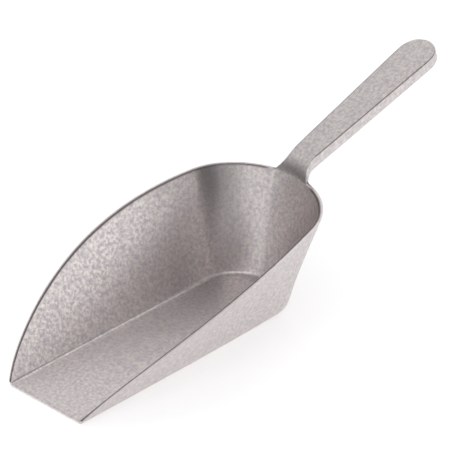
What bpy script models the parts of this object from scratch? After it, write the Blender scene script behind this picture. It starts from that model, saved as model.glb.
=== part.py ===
"""Cast aluminium ice scoop: a flat-floored bowl, a hollow-backed handle and the filleted root between them.

Metres, +Z up. The scoop stands on its flat floor. +X runs from the mouth to the handle, and the scoop is
symmetric about the XZ plane. The origin is on the underside of the floor, halfway along it.
"""

import math

import bmesh
import bpy

MM = 0.001

# The floor in plan, measured from the mouth. Its sides are straight, then a corner turns into the back arc.
MOUTH_HALF_WIDTH = 28.9 * MM
FLOOR_STRAIGHT = 155.9 * MM
FLOOR_CORNER_RADIUS = 22.0 * MM
FLOOR_CORNER_END = math.radians(44.9)

# The side walls lean outwards by these angles from upright, and bow out a little more between them.
WALL_HEIGHT = 64.4 * MM
FLARE_AT_MOUTH = math.radians(33.1)
FLARE_AT_BACK = math.radians(18.1)
WALL_BOW = 6.3 * MM
TOP_STRAIGHT_EXTRA = 9.5 * MM
TOP_CORNER_RADIUS = 40.6 * MM
TOP_CORNER_END = math.radians(39.7)

# Each back corner of the wall is tucked in between the rim and the floor, so that it hollows out below the rim.
CORNER_TUCK = 2.4 * MM
TUCK_START = math.radians(8.0)
TUCK_END = math.radians(84.0)
TUCK_SHARE_UNDER_RIM = 0.6
TUCK_SHARE_OVER_FLOOR = 0.4

# The rim rises from the mouth to the back along the curve in rim_height.
RIM_AT_MOUTH = 2.4 * MM
RIM_AT_BACK = 67.8 * MM
RIM_FULLNESS = 0.81

FLOOR_AT_MOUTH = 2.0 * MM
FLOOR_AT_BACK = 4.7 * MM
WALL_AT_MOUTH = 1.8 * MM
WALL_AT_BACK = 2.7 * MM
OUTER_FILLET_AT_MOUTH = 1.5 * MM
OUTER_FILLET_AT_BACK = 12.0 * MM
INNER_FILLET = 2.5 * MM

# The handle rises from the neck. Its widths are half widths at the neck and where the round end starts.
HANDLE_RISE = math.radians(17.5)
HANDLE_LENGTH = 109.0 * MM
HANDLE_HALF_WIDTH_AT_NECK = 8.7 * MM
HANDLE_HALF_WIDTH_AT_END = 12.3 * MM
HANDLE_ROUND_LENGTH = 13.8 * MM
HANDLE_DEPTH_AT_NECK = 7.7 * MM
HANDLE_DEPTH_AT_END = 6.9 * MM
HANDLE_PLATE = 2.6 * MM
HANDLE_FLANGE = 2.6 * MM
HANDLE_SOLID_ROOT = 9.0 * MM
HANDLE_EDGE_RADIUS = 0.9 * MM
EDGE_SEGMENTS = 2

NECK_STRAIGHT = 8.0 * MM
NECK_BEND_RADIUS = 18.2 * MM
NECK_UNDER_RADIUS = 9.0 * MM
NECK_UNDER_TURN = math.radians(44.0)
NECK_FLARE_RADIUS = 9.0 * MM
NECK_FLARE_TURN = math.radians(58.0)
NECK_FLARE_SET_IN = 2.0 * MM

FITTING_GAP = 0.3 * MM
CUT_MARGIN = 4.0 * MM
CEILING_MARGIN = 16.0 * MM
WELD_DISTANCE = 0.001 * MM
SHARP_ANGLE = math.radians(30.0)
ROUNDED_ANGLE = math.radians(50.0)

BOWL_COLOUR = (0.56, 0.54, 0.55)
HANDLE_COLOUR = (0.58, 0.55, 0.56)
NECK_COLOUR = (0.57, 0.55, 0.56)
CAST_ROUGHNESS = 0.5
HANDLED_ROUGHNESS = 0.45

SIDE_STEPS = 14
CORNER_STEPS = 9
BACK_STEPS = 9
FILLET_STEPS = 4
WALL_STEPS = 9
RIM_STEPS = 30
ARC_STEPS = 10


def clear_scene():
    for item in list(bpy.data.objects):
        bpy.data.objects.remove(item, do_unlink=True)


def new_collection(name):
    collection = bpy.data.collections.new(name)
    bpy.context.scene.collection.children.link(collection)
    return collection


def metal(name, colour, roughness):
    material = bpy.data.materials.new(name)
    material.use_nodes = True
    shader = material.node_tree.nodes["Principled BSDF"]
    shader.inputs["Base Color"].default_value = (*colour, 1)
    shader.inputs["Roughness"].default_value = roughness
    shader.inputs["Metallic"].default_value = 1.0
    return material


def add_object(name, mesh, collection, parent=None):
    item = bpy.data.objects.new(name, mesh)
    collection.objects.link(item)
    item.parent = parent
    return item


def hide_cutter(item):
    item.hide_render = True
    item.display_type = "WIRE"


def cut(item, cutter, operation="DIFFERENCE"):
    modifier = item.modifiers.new(f"{operation.lower()}_{cutter.name}", "BOOLEAN")
    modifier.operation = operation
    modifier.object = cutter


def half_outline(straight, front, back, bow, corner_radius, corner_end, overrun):
    """Stations (x, y, normal x, normal y) from the mouth, along one side and corner, to the back centre."""
    stations = []
    for step in range(SIDE_STEPS + 1):
        share = step / SIDE_STEPS
        y = front + (back - front) * share + 4 * bow * share * (1 - share)
        slope = (back - front + 4 * bow * (1 - 2 * share)) / straight
        turn = -math.atan(slope)
        stations.append((straight * share, y, math.sin(turn), math.cos(turn)))
    x, y, normal_x, normal_y = stations[-1]
    centre_x = x - corner_radius * normal_x
    centre_y = y - corner_radius * normal_y
    start = math.atan2(normal_x, normal_y)
    for step in range(1, CORNER_STEPS + 1):
        turn = start + (corner_end - start) * step / CORNER_STEPS
        normal_x, normal_y = math.sin(turn), math.cos(turn)
        x, y = centre_x + corner_radius * normal_x, centre_y + corner_radius * normal_y
        stations.append((x, y, normal_x, normal_y))
    x, y = stations[-1][:2]
    back_radius = y / math.cos(corner_end)
    centre_x = x - back_radius * math.sin(corner_end)
    for step in range(1, BACK_STEPS + 1):
        turn = corner_end + (math.pi / 2 - corner_end) * step / BACK_STEPS
        normal_x, normal_y = math.sin(turn), math.cos(turn)
        stations.append((centre_x + back_radius * normal_x, back_radius * normal_y, normal_x, normal_y))
    # The mouth is cut square, so the first stations are offset straight sideways.
    stations[0] = (0.0, front, 0.0, 1.0)
    if overrun:
        slope = (back - front + 4 * bow) / straight
        stations.insert(0, (-overrun, front - slope * overrun, 0.0, 1.0))
    return stations


def floor_outline(overrun=0.0):
    return half_outline(
        FLOOR_STRAIGHT, MOUTH_HALF_WIDTH, MOUTH_HALF_WIDTH, 0.0, FLOOR_CORNER_RADIUS, FLOOR_CORNER_END, overrun
    )


def top_outline(overrun=0.0):
    return half_outline(
        FLOOR_STRAIGHT + TOP_STRAIGHT_EXTRA,
        MOUTH_HALF_WIDTH + WALL_HEIGHT * math.tan(FLARE_AT_MOUTH),
        MOUTH_HALF_WIDTH + WALL_HEIGHT * math.tan(FLARE_AT_BACK),
        WALL_BOW,
        TOP_CORNER_RADIUS,
        TOP_CORNER_END,
        overrun,
    )


FLOOR_BACK = floor_outline()[-1][0]
TOP_BACK = top_outline()[-1][0]
BACK_LEAN = (TOP_BACK - FLOOR_BACK) / WALL_HEIGHT
BOWL_LENGTH = FLOOR_BACK + BACK_LEAN * RIM_AT_BACK


def along_bowl(x, at_mouth, at_back):
    share = min(max(x / FLOOR_BACK, 0.0), 1.0)
    return at_mouth + (at_back - at_mouth) * share


def rim_height(x):
    share = min(max(x / BOWL_LENGTH, 0.0), 1.0)
    return RIM_AT_MOUTH + (RIM_AT_BACK - RIM_AT_MOUTH) * (1 - (1 - share) ** 2) ** RIM_FULLNESS


def floor_top(x):
    return FLOOR_AT_MOUTH + (FLOOR_AT_BACK - FLOOR_AT_MOUTH) * x / FLOOR_BACK


def underside(_):
    return 0.0


def eased(share):
    share = min(max(share, 0.0), 1.0)
    return share * share * (3 - 2 * share)


def corner_tuck(normal_x, normal_y, share):
    """How far the wall is tucked in, where it faces this way in plan, at a share of the wall's height."""
    turn = min(max((math.atan2(normal_x, normal_y) - TUCK_START) / (TUCK_END - TUCK_START), 0.0), 1.0)
    upright = eased((1 - share) / TUCK_SHARE_UNDER_RIM) * eased(share / TUCK_SHARE_OVER_FLOOR)
    return CORNER_TUCK * math.sin(math.pi * turn) ** 2 * upright


def wall_column(low, high, bottom_at, top, inset, fillet):
    """Points of one station from the floor up: the rounded corner, then the leaning wall."""
    bottom = bottom_at(low[0])
    lean = ((high[0] - low[0]) * low[2] + (high[1] - low[1]) * low[3]) / WALL_HEIGHT
    angle = math.atan2(1.0, lean)
    heights = []
    for step in range(FILLET_STEPS + 1):
        turn = angle * step / FILLET_STEPS
        rise = fillet * (1 - math.cos(turn))
        rounding = rise * lean + fillet * (math.tan(angle / 2) - math.sin(turn))
        heights.append((bottom + rise, rounding))
    last = heights[-1][0]
    for step in range(1, WALL_STEPS + 1):
        heights.append((last + (top - last) * step / WALL_STEPS, 0.0))
    column = []
    for z, rounding in heights:
        share = z / WALL_HEIGHT
        x, y, normal_x, normal_y = (a + (b - a) * share for a, b in zip(low, high))
        length = math.hypot(normal_x, normal_y)
        back_off = (inset + rounding + corner_tuck(normal_x, normal_y, share)) / length
        column.append((x - normal_x * back_off, y - normal_y * back_off, z))
    # The lowest points lie exactly on the floor's plane.
    x, y, _ = column[0]
    column[0] = (x, y, bottom_at(x))
    return column


def bowl_block(name, bottom_at, top, inset_at, fillet_at, overrun, collection, parent):
    """A closed block with the bowl's outline, lofted from the floor outline to the wider outline above it."""
    half = [
        wall_column(low, high, bottom_at, top, inset_at(low[0]), fillet_at(low[0]))
        for low, high in zip(floor_outline(overrun), top_outline(overrun))
    ]
    mirrored = [[(x, -y, z) for x, y, z in column] for column in half[-2::-1]]
    for point_index, (x, _, z) in enumerate(half[-1]):
        half[-1][point_index] = (x, 0.0, z)
    columns = half + mirrored
    shape = bmesh.new()
    grid = [[shape.verts.new(point) for point in column] for column in columns]
    for index, column in enumerate(grid):
        following = grid[(index + 1) % len(grid)]
        for level in range(len(column) - 1):
            shape.faces.new((column[level], following[level], following[level + 1], column[level + 1]))
    shape.faces.new([column[0] for column in grid])
    shape.faces.new([column[-1] for column in grid])
    bmesh.ops.recalc_face_normals(shape, faces=shape.faces)
    mesh = bpy.data.meshes.new(name)
    shape.to_mesh(mesh)
    shape.free()
    return add_object(name, mesh, collection, parent)


def prism(name, outline, low, high, collection, parent=None, upright=False):
    """A flat outline extruded from low to high: along Z, or along Y when upright, where the outline is (x, z)."""
    curve = bpy.data.curves.new(name, "CURVE")
    curve.dimensions = "2D"
    curve.fill_mode = "BOTH"
    curve.extrude = (high - low) / 2
    spline = curve.splines.new("POLY")
    spline.points.add(len(outline) - 1)
    for point, (x, y) in zip(spline.points, outline):
        point.co = (x, y, 0, 1)
    spline.use_cyclic_u = True
    guide = add_object(f"{name}_outline", curve, collection)
    if upright:
        guide.rotation_euler.x = math.pi / 2
        guide.location.y = (low + high) / 2
    else:
        guide.location.z = (low + high) / 2
    bpy.context.view_layer.update()
    graph = bpy.context.evaluated_depsgraph_get()
    mesh = bpy.data.meshes.new_from_object(guide.evaluated_get(graph))
    mesh.transform(guide.matrix_world)
    mesh.name = name
    bpy.data.objects.remove(guide, do_unlink=True)
    shape = bmesh.new()
    shape.from_mesh(mesh)
    bmesh.ops.remove_doubles(shape, verts=shape.verts, dist=WELD_DISTANCE)
    bmesh.ops.recalc_face_normals(shape, faces=shape.faces)
    shape.to_mesh(mesh)
    shape.free()
    return add_object(name, mesh, collection, parent)


def rim_cutter(name, lift, collection, parent):
    """Takes away everything higher than the rim, raised by lift."""
    outline = [(-2 * CUT_MARGIN, RIM_AT_MOUTH + lift)]
    for step in range(RIM_STEPS + 1):
        x = BOWL_LENGTH * (step / RIM_STEPS) ** 2
        outline.append((x, rim_height(x) + lift))
    ceiling = RIM_AT_BACK + CEILING_MARGIN
    outline += [
        (BOWL_LENGTH + CEILING_MARGIN, RIM_AT_BACK + lift),
        (BOWL_LENGTH + CEILING_MARGIN, ceiling),
        (-2 * CUT_MARGIN, ceiling),
    ]
    reach = MOUTH_HALF_WIDTH + RIM_AT_BACK
    cutter = prism(name, outline, -reach, reach, collection, parent, upright=True)
    hide_cutter(cutter)
    return cutter


def build_bowl(parts, cutters, frame):
    wall_top = RIM_AT_BACK + CUT_MARGIN
    bowl = bowl_block(
        "bowl",
        underside,
        wall_top,
        lambda x: 0.0,
        lambda x: along_bowl(x, OUTER_FILLET_AT_MOUTH, OUTER_FILLET_AT_BACK),
        0.0,
        parts,
        frame,
    )
    hollow = bowl_block(
        "bowl_hollow",
        floor_top,
        wall_top + CUT_MARGIN,
        lambda x: along_bowl(x, WALL_AT_MOUTH, WALL_AT_BACK),
        lambda x: INNER_FILLET,
        CUT_MARGIN,
        cutters,
        frame,
    )
    hide_cutter(hollow)
    cut(bowl, hollow)
    cut(bowl, rim_cutter("above_rim", 0.0, cutters, frame))
    return bowl


def point_along(point, direction, distance):
    return (point[0] + direction[0] * distance, point[1] + direction[1] * distance)


# The handle's top line, in the XZ plane: where the neck's bend ends, the way it runs, and the way up from it.
ALONG = (math.cos(HANDLE_RISE), math.sin(HANDLE_RISE))
ACROSS = (-math.sin(HANDLE_RISE), math.cos(HANDLE_RISE))
BACK_ANGLE = math.atan2(1.0, BACK_LEAN)
BEND_START = (BOWL_LENGTH - WALL_AT_BACK, RIM_AT_BACK)
BEND_END = (
    BEND_START[0] + NECK_BEND_RADIUS * (math.sin(BACK_ANGLE) - math.sin(HANDLE_RISE)),
    BEND_START[1] + NECK_BEND_RADIUS * (math.cos(HANDLE_RISE) - math.cos(BACK_ANGLE)),
)


def handle_half_width(distance):
    share = distance / (HANDLE_LENGTH - HANDLE_ROUND_LENGTH)
    return HANDLE_HALF_WIDTH_AT_NECK + (HANDLE_HALF_WIDTH_AT_END - HANDLE_HALF_WIDTH_AT_NECK) * share


def handle_depth(distance):
    return HANDLE_DEPTH_AT_NECK + (HANDLE_DEPTH_AT_END - HANDLE_DEPTH_AT_NECK) * distance / HANDLE_LENGTH


def tongue_outline(start, inset):
    """The handle from above, narrowed by inset all round, from start to its round end."""
    straight_end = HANDLE_LENGTH - HANDLE_ROUND_LENGTH
    round_length = HANDLE_ROUND_LENGTH - inset
    round_width = HANDLE_HALF_WIDTH_AT_END - inset
    half = [(start, handle_half_width(start) - inset)]
    for step in range(2 * ARC_STEPS + 1):
        turn = math.pi / 2 * step / (2 * ARC_STEPS)
        half.append((straight_end + round_length * math.sin(turn), round_width * math.cos(turn)))
    half[-1] = (straight_end + round_length, 0.0)
    return half + [(x, -y) for x, y in half[-2::-1]]


def build_handle(parts, cutters, frame):
    start = NECK_STRAIGHT + FITTING_GAP / 2
    handle = prism("handle", tongue_outline(start, 0.0), -HANDLE_DEPTH_AT_NECK, 0.0, parts, frame)
    for vertex in handle.data.vertices:
        if vertex.co.z < -HANDLE_DEPTH_AT_NECK / 2:
            vertex.co.z = -handle_depth(vertex.co.x)
    rounding = handle.modifiers.new("rounded_edges", "BEVEL")
    rounding.width = HANDLE_EDGE_RADIUS
    rounding.segments = EDGE_SEGMENTS
    rounding.limit_method = "ANGLE"
    rounding.angle_limit = ROUNDED_ANGLE
    recess = prism(
        "handle_recess",
        tongue_outline(start + HANDLE_SOLID_ROOT, HANDLE_FLANGE),
        -HANDLE_DEPTH_AT_NECK - CUT_MARGIN,
        -HANDLE_PLATE,
        cutters,
        frame,
    )
    hide_cutter(recess)
    cut(handle, recess)
    for item in (handle, recess):
        item.location = (BEND_END[0], 0.0, BEND_END[1])
        item.rotation_euler.y = -HANDLE_RISE
    return handle


def neck_side_outline():
    """The neck from the side: the bend that carries the bowl's inner wall into the handle's top, and the root."""
    outline = [(BEND_START[0] - BACK_LEAN * CUT_MARGIN, BEND_START[1] - CUT_MARGIN)]
    for step in range(ARC_STEPS + 1):
        heading = BACK_ANGLE + (HANDLE_RISE - BACK_ANGLE) * step / ARC_STEPS
        outline.append(
            (
                BEND_START[0] + NECK_BEND_RADIUS * (math.sin(BACK_ANGLE) - math.sin(heading)),
                BEND_START[1] + NECK_BEND_RADIUS * (math.cos(heading) - math.cos(BACK_ANGLE)),
            )
        )
    end_distance = NECK_STRAIGHT - FITTING_GAP / 2
    end_top = point_along(BEND_END, ALONG, end_distance)
    end_bottom = point_along(end_top, ACROSS, -handle_depth(end_distance))
    outline += [end_top, end_bottom]
    # The hollow curve under the neck starts along the handle and ends on the outside of the back wall.
    arc = []
    for step in range(ARC_STEPS + 1):
        turn = HANDLE_RISE + NECK_UNDER_TURN * step / ARC_STEPS
        arc.append(
            (
                -NECK_UNDER_RADIUS * math.sin(turn) + NECK_UNDER_RADIUS * math.sin(HANDLE_RISE),
                NECK_UNDER_RADIUS * math.cos(turn) - NECK_UNDER_RADIUS * math.cos(HANDLE_RISE),
            )
        )
    last_x, last_z = arc[-1]
    off_wall = end_bottom[0] + last_x - FLOOR_BACK - BACK_LEAN * (end_bottom[1] + last_z)
    set_back = off_wall / (ALONG[0] - BACK_LEAN * ALONG[1])
    arc_start = point_along(end_bottom, ALONG, -set_back)
    outline += [(arc_start[0] + x, arc_start[1] + z) for x, z in arc]
    outline.append((outline[-1][0] - CUT_MARGIN, outline[-1][1] - CUT_MARGIN))
    return outline


def neck_plan_outline():
    """The neck from above: as wide as the handle, then flared round each side to run into the rim."""
    flare_x = BOWL_LENGTH + NECK_FLARE_RADIUS * math.sin(NECK_FLARE_TURN) - NECK_FLARE_SET_IN
    flare_y = handle_half_width((flare_x - BEND_END[0]) / ALONG[0])
    end_x = BEND_END[0] + NECK_STRAIGHT + CUT_MARGIN
    half = [(end_x, handle_half_width((end_x - BEND_END[0]) / ALONG[0]))]
    for step in range(ARC_STEPS + 1):
        turn = NECK_FLARE_TURN * step / ARC_STEPS
        half.append(
            (
                flare_x - NECK_FLARE_RADIUS * math.sin(turn),
                flare_y + NECK_FLARE_RADIUS * (1 - math.cos(turn)),
            )
        )
    # Past the arc each side runs on straight, deep into the wall that it meets.
    heading = (-math.cos(NECK_FLARE_TURN), math.sin(NECK_FLARE_TURN))
    half.append(point_along(half[-1], heading, CUT_MARGIN))
    half.append((BEND_START[0] - 2 * CUT_MARGIN, half[-1][1]))
    return half + [(x, -y) for x, y in half[::-1]]


def build_neck(parts, cutters, frame):
    widest = HANDLE_HALF_WIDTH_AT_NECK + NECK_FLARE_RADIUS + 2 * CUT_MARGIN
    neck = prism("neck_weld", neck_side_outline(), -widest, widest, parts, frame, upright=True)
    plan = prism("neck_plan", neck_plan_outline(), 0.0, 2 * RIM_AT_BACK, cutters, frame)
    hide_cutter(plan)
    cut(neck, plan, "INTERSECT")
    bowl_space = bowl_block(
        "bowl_space",
        underside,
        RIM_AT_BACK + CUT_MARGIN,
        lambda x: -FITTING_GAP,
        lambda x: OUTER_FILLET_AT_BACK,
        0.0,
        cutters,
        frame,
    )
    hide_cutter(bowl_space)
    cut(bowl_space, rim_cutter("above_rim_gap", FITTING_GAP, cutters, frame))
    cut(neck, bowl_space)
    return neck


def main():
    clear_scene()
    parts = new_collection("ice_scoop")
    cutters = new_collection("cutters")
    frame = bpy.data.objects.new("scoop_frame", None)
    parts.objects.link(frame)
    frame.location.x = -FLOOR_BACK / 2
    finishes = {
        "bowl": metal("tumbled_aluminium", BOWL_COLOUR, CAST_ROUGHNESS),
        "handle": metal("handle_aluminium", HANDLE_COLOUR, HANDLED_ROUGHNESS),
        "neck_weld": metal("weld_aluminium", NECK_COLOUR, CAST_ROUGHNESS),
    }
    for item in (
        build_bowl(parts, cutters, frame),
        build_handle(parts, cutters, frame),
        build_neck(parts, cutters, frame),
    ):
        item.data.materials.append(finishes[item.name])
        item.data.shade_smooth()
        item.data.set_sharp_from_angle(angle=SHARP_ANGLE)


main()
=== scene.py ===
"""The looks of a cast aluminium ice scoop: one tumbled casting, made as a bowl, a neck and a handle."""

import math

import bmesh
import bpy
from bpy.props import FloatProperty, FloatVectorProperty, IntProperty, PointerProperty
from mathutils import Matrix, Vector


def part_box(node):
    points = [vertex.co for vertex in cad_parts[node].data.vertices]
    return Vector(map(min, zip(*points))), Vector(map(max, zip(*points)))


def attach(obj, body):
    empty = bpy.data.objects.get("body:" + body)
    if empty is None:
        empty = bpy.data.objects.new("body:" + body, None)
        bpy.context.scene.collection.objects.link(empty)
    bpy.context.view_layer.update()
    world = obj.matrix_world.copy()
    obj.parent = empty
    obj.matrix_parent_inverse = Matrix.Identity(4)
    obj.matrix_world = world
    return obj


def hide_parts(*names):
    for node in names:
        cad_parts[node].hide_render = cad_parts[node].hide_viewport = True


bl_info = {
    "name": "Cast Ice Scoop",
    "version": (1, 0, 0),
    "blender": (4, 5, 0),
    "location": "View3D > Sidebar > Ice Scoop",
    "description": "Builds a tumbled cast aluminium ice scoop around its packed CAD frame",
    "category": "Object",
}

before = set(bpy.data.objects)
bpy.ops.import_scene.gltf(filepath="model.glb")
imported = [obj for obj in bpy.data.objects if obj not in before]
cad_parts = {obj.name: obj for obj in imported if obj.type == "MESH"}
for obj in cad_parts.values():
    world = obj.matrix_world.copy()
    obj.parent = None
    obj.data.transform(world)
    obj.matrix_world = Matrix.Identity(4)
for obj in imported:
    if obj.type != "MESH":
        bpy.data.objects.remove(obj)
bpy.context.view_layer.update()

MM = 0.001
MOUTH_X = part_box("bowl")[0].x
RIM_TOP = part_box("bowl")[1].z
BODY = "root"
ZONES = ("bowl", "neck", "handle")


def length(name, description, millimetres):
    return FloatProperty(name=name, description=description, default=millimetres * MM, unit="LENGTH")


def angle(name, description, degrees):
    return FloatProperty(name=name, description=description, default=math.radians(degrees), subtype="ANGLE")


def colour(name, description, value):
    return FloatVectorProperty(name=name, description=description, default=value, size=3, subtype="COLOR")


def share(name, description, value):
    return FloatProperty(name=name, description=description, default=value, min=0.0, max=1.0, subtype="FACTOR")


class ScoopBowlSizes(bpy.types.PropertyGroup):
    mouth_half_width: length("Mouth half width", "Half the width of the square mouth", 28.9)
    floor_straight: length("Floor straight", "Length of the floor's straight sides", 155.9)
    floor_corner: length("Floor corner", "Radius of the floor's back corners in plan", 22.0)
    floor_corner_end: angle("Floor corner end", "Where the floor's corner meets its back arc", 44.9)
    wall_height: length("Wall height", "Height at which the upper outline is drawn", 64.4)
    flare_at_mouth: angle("Flare at mouth", "Lean of the side wall at the mouth", 33.1)
    flare_at_back: angle("Flare at back", "Lean of the side wall at the back corner", 18.1)
    wall_bow: length("Wall bow", "How far the side wall bows out at its middle", 6.3)
    top_extra: length("Upper straight extra", "How much longer the upper outline's sides are", 9.5)
    top_corner: length("Upper corner", "Radius of the upper outline's back corners", 40.6)
    top_corner_end: angle("Upper corner end", "Where the upper corner meets its back arc", 39.7)
    rim_at_mouth: length("Rim at mouth", "Height of the rim at the mouth", 2.4)
    rim_fullness: FloatProperty(name="Rim fullness", description="How quickly the rim rises", default=0.81)
    floor_at_mouth: length("Floor at mouth", "Thickness of the floor at the mouth", 2.0)
    floor_at_back: length("Floor at back", "Thickness of the floor at the back", 4.7)
    tuck: length("Corner tuck", "How far the back corners are tucked in below the rim", 2.4)
    tuck_start: angle("Tuck start", "Facing of the wall where the tuck starts", 8.0)
    tuck_end: angle("Tuck end", "Facing of the wall where the tuck ends", 84.0)
    tuck_under_rim: share("Tuck under rim", "Share of the wall's height over which the tuck deepens", 0.6)
    tuck_over_floor: share("Tuck over floor", "Share of the wall's height over which the tuck fades", 0.4)
    wall_at_mouth: length("Wall at mouth", "Thickness of the wall at the mouth", 1.8)
    wall_at_back: length("Wall at back", "Thickness of the wall at the back", 2.7)
    outer_fillet_at_mouth: length("Outer fillet at mouth", "Radius under the wall at the mouth", 1.5)
    outer_fillet_at_back: length("Outer fillet at back", "Radius under the wall at the back", 12.0)
    inner_fillet: length("Inner fillet", "Radius between the floor and the wall inside", 2.5)
    rim_edge: length("Rim edge", "Width of the rounding along each edge of the rim", 0.8)


class ScoopHandleSizes(bpy.types.PropertyGroup):
    rise: angle("Rise", "Slope of the handle above level", 17.5)
    handle_length: length("Length", "Length from the end of the bend to the tip", 109.0)
    half_width_at_neck: length("Half width at neck", "Half the handle's width where it leaves the neck", 8.7)
    half_width_at_end: length("Half width at end", "Half the handle's width where its round end starts", 12.3)
    round_length: length("Round length", "Length of the round end", 13.8)
    depth_at_neck: length("Depth at neck", "Depth of the handle's sides at the neck", 7.7)
    depth_at_end: length("Depth at end", "Depth of the handle's sides at the tip", 6.9)
    plate: length("Plate", "Thickness of the handle's top plate", 2.6)
    flange: length("Flange", "Thickness of the handle's sides", 2.6)
    edge: length("Edge", "Width of the rounding along the handle's edges", 1.1)
    root_solid: length("Solid root", "Length of solid metal before the hollow underside starts", 17.0)
    neck_straight: length("Neck straight", "Length of straight neck before the handle starts", 8.0)
    bend: length("Bend", "Radius that carries the bowl's inside into the handle's top", 18.2)
    under_bend: length("Under bend", "Radius of the hollow curve under the neck", 9.0)
    under_turn: angle("Under turn", "How far the hollow curve under the neck turns", 44.0)
    flare: length("Flare", "Half the width of the neck where it meets the rim", 13.5)
    flare_length: length("Flare length", "How far along the neck its flare reaches", 12.0)


class ScoopFinish(bpy.types.PropertyGroup):
    metal: colour("Metal", "Colour of the tumbled aluminium", (0.642, 0.597, 0.598))
    worn: colour("Worn metal", "Colour along edges that wear", (0.72, 0.68, 0.68))
    # The shade colour is painted shade: a dark line along the rim's inner edge and the handle's top edges, and
    # darkening in the handle's hollow.
    shade: colour("Painted shade", "Colour of the painted shade along the rim and handle edges and in the hollow", (0.20, 0.17, 0.17))
    roughness: share("Roughness", "Roughness of the tumbled skin", 0.36)
    grain_size: length("Grain size", "Size of the cast grain", 1.1)
    grain_height: length("Grain height", "Height of the cast grain", 0.045)
    wave_size: length("Wave size", "Size of the casting's slow unevenness", 16.0)
    wave_height: length("Wave height", "Height of the casting's slow unevenness", 0.18)
    smoothness: IntProperty(name="Smoothness", description="Subdivision level of the casting", default=2)


class SoftPanel(bpy.types.PropertyGroup):
    azimuth: angle("Azimuth", "Direction of the panel's middle", 0.0)
    height: angle("Height", "Height of the panel's middle", 8.0)
    inner: angle("Inner", "Half angle of the panel's even part", 8.0)
    outer: angle("Outer", "Half angle at which the panel ends", 30.0)
    light: FloatProperty(name="Light", description="Brightness of the panel", default=0.0)


class ScoopStage(bpy.types.PropertyGroup):
    floor: colour("Floor", "Colour of the pale floor", (0.93, 0.93, 0.93))
    floor_glow: share("Floor glow", "Light that comes up through the floor, as from a light table", 0.46)
    overhead_light: share("Overhead light", "Brightness of the studio's ceiling", 0.48)
    room_light: share("Room light", "Brightness of the studio between its panels", 0.02)
    mouth_panel: PointerProperty(type=SoftPanel)
    ceiling_panel: PointerProperty(type=SoftPanel)
    side_panel: PointerProperty(type=SoftPanel)
    handle_panel: PointerProperty(type=SoftPanel)
    far_panel: PointerProperty(type=SoftPanel)
    azimuth: angle("Camera azimuth", "Direction the camera looks from", -43.79)
    elevation: angle("Camera elevation", "Height the camera looks from", 31.3)
    distance: length("Camera distance", "Distance from the camera to the scoop", 2803.0)
    lens: FloatProperty(name="Lens", description="Focal length", default=389.2, unit="CAMERA")
    roll: angle("Camera roll", "Turn of the camera about its own aim", -0.97)
    middle_along: length("Middle along", "How far behind the mouth the bowl's middle is taken", 112.0)
    middle_height: length("Middle height", "Height of the bowl's middle", 28.0)
    aim_right: length("Aim right", "How far the aim lies right of the bowl's middle", 22.16)
    aim_up: length("Aim up", "How far the aim lies above the bowl's middle", 37.12)


def bowl_sizes():
    return bpy.context.scene.ice_scoop_bowl


def handle_sizes():
    return bpy.context.scene.ice_scoop_handle


def finish_values():
    return bpy.context.scene.ice_scoop_finish


def eased(value):
    value = min(max(value, 0.0), 1.0)
    return value * value * (3 - 2 * value)


# The casting's cage ----------------------------------------------------------------------------------------


class Outline:
    """Half of the bowl's outline in plan: a side, a corner and a back arc, each read at a share of its run."""

    def __init__(self, straight, front, back, bow, corner, corner_end):
        self.straight, self.front, self.back, self.bow = straight, front, back, bow
        self.corner, self.corner_end = corner, corner_end
        x, y, normal = self.side(1.0)
        self.side_end = math.atan2(normal.x, normal.y)
        self.corner_centre = Vector((x, y)) - corner * normal
        x, y, _ = self.corner_at(1.0)
        self.back_radius = y / math.cos(corner_end)
        self.back_x = x - self.back_radius * math.sin(corner_end)

    def side(self, run):
        y = self.front + (self.back - self.front) * run + 4 * self.bow * run * (1 - run)
        slope = (self.back - self.front + 4 * self.bow * (1 - 2 * run)) / self.straight
        turn = -math.atan(slope)
        if run == 0.0:
            turn = 0.0
        return self.straight * run, y, Vector((math.sin(turn), math.cos(turn)))

    def corner_at(self, run):
        turn = self.side_end + (self.corner_end - self.side_end) * run
        normal = Vector((math.sin(turn), math.cos(turn)))
        place = self.corner_centre + self.corner * normal
        return place.x, place.y, normal

    def back_at(self, run):
        turn = self.corner_end + (math.pi / 2 - self.corner_end) * run
        normal = Vector((math.sin(turn), math.cos(turn)))
        return self.back_x + self.back_radius * normal.x, self.back_radius * normal.y, normal

    def at(self, stretch, run):
        return {"side": self.side, "corner": self.corner_at, "back": self.back_at}[stretch](run)

    def back_run(self, y):
        """The share of the back arc at which the outline is y from the middle."""
        turn = math.acos(y / self.back_radius)
        return (turn - self.corner_end) / (math.pi / 2 - self.corner_end)


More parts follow.
